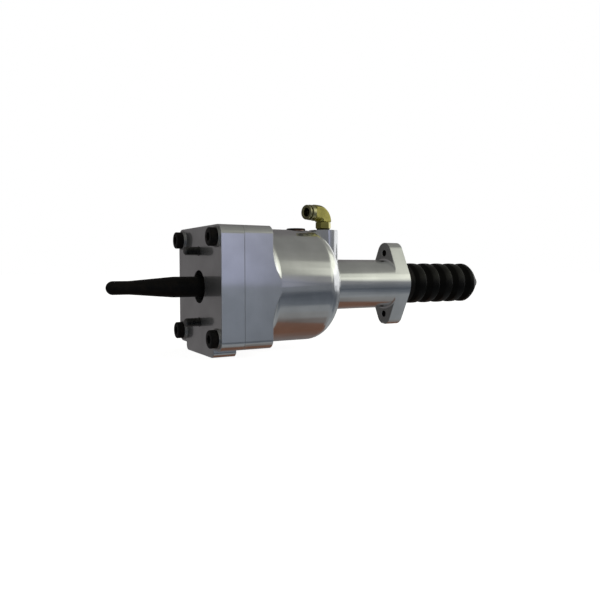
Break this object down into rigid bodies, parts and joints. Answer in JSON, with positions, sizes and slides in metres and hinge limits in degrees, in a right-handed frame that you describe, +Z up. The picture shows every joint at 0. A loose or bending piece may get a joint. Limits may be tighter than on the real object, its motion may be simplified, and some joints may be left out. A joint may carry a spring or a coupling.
{
  "type": "clutch servo",
  "caption": "In-line air-assisted clutch servo: square-ended cylinder with tapered push rod, bolted neck flange, rubber boot and brass swivel elbow.",
  "frame": {"origin": "on the main axis, in the plane of the front cover's outer face", "axes": "+X along the main axis from the push rod towards the rubber boot, +Z up through the air port, +Y to the left when looking along +X"},
  "size_m": [0.4317, 0.11, 0.1434],
  "materials": {
    "machined_alloy": "satin machined casting",
    "piston_alloy": "turned",
    "black_steel": "black oxide",
    "bright_steel": "zinc plated or ground",
    "spring_steel": "oiled wire",
    "brass": "polished",
    "bronze": "turned",
    "seal_rubber": "smooth",
    "boot_rubber": "moulded, matt",
    "copper_ring": "annealed",
    "guide_plastic": "moulded"
  },
  "bodies": {
    "housing": {"housing": "machined_alloy", "front_cover": "machined_alloy", "cover_screws": "black_steel", "cover_washers": "bright_steel", "mounting_studs": "black_steel", "cover_dowels": "bright_steel", "cover_seal": "seal_rubber", "spring_seat": "bright_steel", "return_spring": "spring_steel", "port_plug": "black_steel", "plug_seal": "copper_ring", "port_adapter": "brass", "adapter_seal": "seal_rubber", "neck_seal_front": "seal_rubber", "neck_seal_rear": "seal_rubber", "neck_bush_front": "bronze", "bush_spacer": "piston_alloy", "neck_bush_rear": "bronze", "neck_circlips": "spring_steel", "boot": "boot_rubber", "boot_clip": "black_steel", "elbow_seal": "seal_rubber"},
    "piston": {"air_piston": "piston_alloy", "piston_seal": "seal_rubber", "wear_band": "guide_plastic", "bump_ring": "seal_rubber", "ball_seat": "guide_plastic", "rod_retainer": "bright_steel", "valve_stem": "piston_alloy", "stem_seal": "seal_rubber", "valve_plug": "bright_steel", "inlet_seat": "bronze", "stem_circlip": "spring_steel", "poppet_spring": "spring_steel", "plunger_spring": "spring_steel"},
    "push_rod": {"push_rod": "black_steel"},
    "plunger": {"control_plunger": "bright_steel", "plunger_seals": "seal_rubber", "input_cup": "bright_steel"},
    "poppet": {"valve_poppet": "bronze", "poppet_face": "seal_rubber"},
    "elbow": {"elbow_body": "brass", "elbow_clip": "spring_steel", "port_sleeve": "brass", "tube_seal": "seal_rubber", "grip_ring": "bright_steel"},
    "release_collar": {"release_collar": "brass"}
  },
  "joints": [
    {"name": "piston_slide", "type": "slide", "parent": "housing", "child": "piston", "axis": [-1, 0, 0], "range_m": [0, 0.03], "stiffness_N_per_m": 2500, "springref_m": -0.03, "deforming": ["return_spring", "boot"]},
    {"name": "rod_tilt", "type": "hinge", "parent": "piston", "child": "push_rod", "pos_m": [0.097, 0, 0], "axis": [0, 1, 0], "range_deg": [-3, 3]},
    {"name": "plunger_slide", "type": "slide", "parent": "piston", "child": "plunger", "axis": [-1, 0, 0], "range_m": [0, 0.002], "stiffness_N_per_m": 1500, "springref_m": -0.006, "deforming": ["plunger_spring"]},
    {"name": "poppet_slide", "type": "slide", "parent": "piston", "child": "poppet", "axis": [-1, 0, 0], "range_m": [0, 0.002], "stiffness_N_per_m": 300, "springref_m": -0.003, "deforming": ["poppet_spring"]},
    {"name": "elbow_swivel", "type": "hinge", "parent": "housing", "child": "elbow", "pos_m": [0.135, 0, 0.07], "axis": [0, 0, 1], "continuous": true},
    {"name": "collar_press", "type": "slide", "parent": "elbow", "child": "release_collar", "axis": [0.9744, 0.225, 0], "range_m": [0, 0.001], "stiffness_N_per_m": 400, "springref_m": -0.001}
  ],
  "couplings": [
    {"joint": "poppet_slide", "follows": "plunger_slide", "ratio": 0.88}
  ]
}
